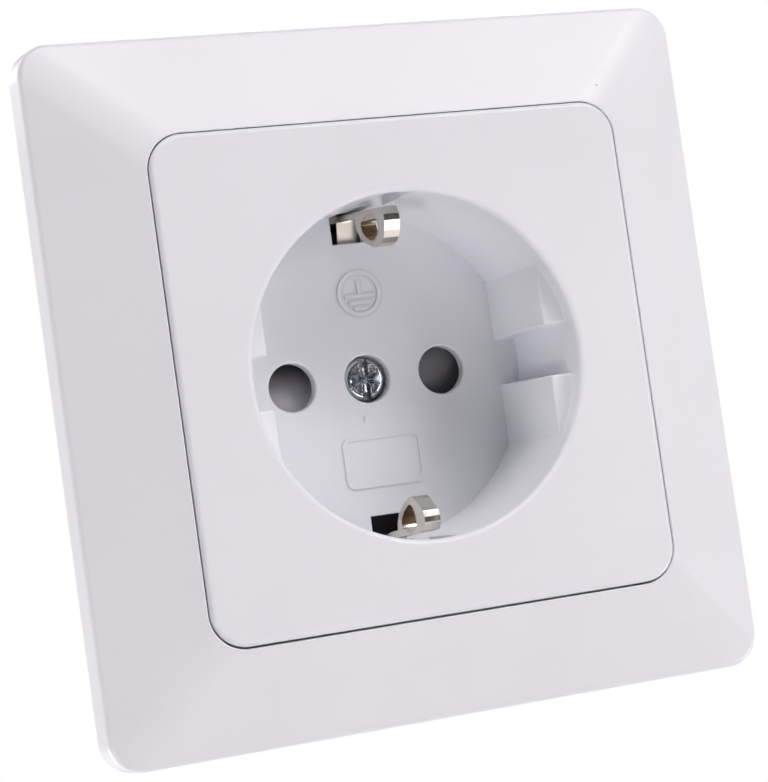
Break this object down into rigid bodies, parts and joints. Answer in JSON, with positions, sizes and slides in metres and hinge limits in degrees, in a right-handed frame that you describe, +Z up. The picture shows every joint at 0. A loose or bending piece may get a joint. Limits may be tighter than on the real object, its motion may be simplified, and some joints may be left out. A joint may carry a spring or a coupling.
{
  "type": "wall socket",
  "caption": "Flush single wall socket with square bevelled frame, round recessed outlet, side earth clips, pin shutter, steel ring, claws and screw terminals.",
  "frame": {"origin": "on the recess axis, in the wall plane that the frame and the steel ring stand on, midway between the box screw holes", "axes": "+X to the right seen from the front, +Y into the wall, +Z up"},
  "size_m": [0.08, 0.0394, 0.08],
  "materials": {
    "white_plastic": "satin, fine moulded",
    "plate_plastic": "satin, fine moulded",
    "cover_screw_zinc": "bright zinc",
    "brass": "bare, machined",
    "shutter_plastic": "moulded",
    "spring_steel": "drawn",
    "insulator": "moulded",
    "base_plastic": "moulded thermoset",
    "ring_steel": "zinc plated sheet",
    "rivet_steel": "zinc plated",
    "nickel_strip": "bright nickel",
    "contact_brass": "rolled sheet",
    "zinc_screw": "zinc plated",
    "zinc_steel": "zinc plated",
    "claw_steel": "zinc plated sheet"
  },
  "bodies": {
    "socket": {"cover_frame": "white_plastic", "centre_plate": "plate_plastic", "cover_screw": "cover_screw_zinc", "cover_screw_nut": "brass", "shutter_spring": "spring_steel", "contact_cover": "insulator", "socket_base": "base_plastic", "support_ring": "ring_steel", "ring_rivets": "rivet_steel", "earth_bracket": "nickel_strip", "live_contact": "contact_brass", "live_contact_spring": "spring_steel", "live_terminal_screw": "zinc_screw", "live_terminal_clamp": "zinc_steel", "neutral_contact": "contact_brass", "neutral_contact_spring": "spring_steel", "neutral_terminal_screw": "zinc_screw", "neutral_terminal_clamp": "zinc_steel", "earth_terminal_screw": "zinc_screw", "earth_terminal_clamp": "zinc_steel"},
    "shutter": {"shutter": "shutter_plastic"},
    "left_claw": {"left_claw": "claw_steel"},
    "left_claw_screw": {"left_claw_screw": "zinc_screw"},
    "right_claw": {"right_claw": "claw_steel"},
    "right_claw_screw": {"right_claw_screw": "zinc_screw"}
  },
  "joints": [
    {"name": "shutter_turn", "type": "hinge", "parent": "socket", "child": "shutter", "pos_m": [0, 0.013, 0], "axis": [0, -1, 0], "range_deg": [0, 38], "stiffness_Nm_per_rad": 0.008, "springref_deg": -20.05, "deforming": ["shutter_spring"]},
    {"name": "left_claw_screw_turn", "type": "hinge", "parent": "socket", "child": "left_claw_screw", "pos_m": [-0.0246, 0, 0], "axis": [0, 1, 0], "range_deg": [0, 4115]},
    {"name": "left_claw_travel", "type": "slide", "parent": "socket", "child": "left_claw", "axis": [0, -1, 0], "range_m": [0, 0.008]},
    {"name": "right_claw_screw_turn", "type": "hinge", "parent": "socket", "child": "right_claw_screw", "pos_m": [0.0246, 0, 0], "axis": [0, 1, 0], "range_deg": [0, 4115]},
    {"name": "right_claw_travel", "type": "slide", "parent": "socket", "child": "right_claw", "axis": [0, -1, 0], "range_m": [0, 0.008]}
  ],
  "couplings": [
    {"joint": "left_claw_screw_turn", "follows": "left_claw_travel", "rad_per_m": 8976},
    {"joint": "right_claw_screw_turn", "follows": "right_claw_travel", "rad_per_m": 8976}
  ]
}
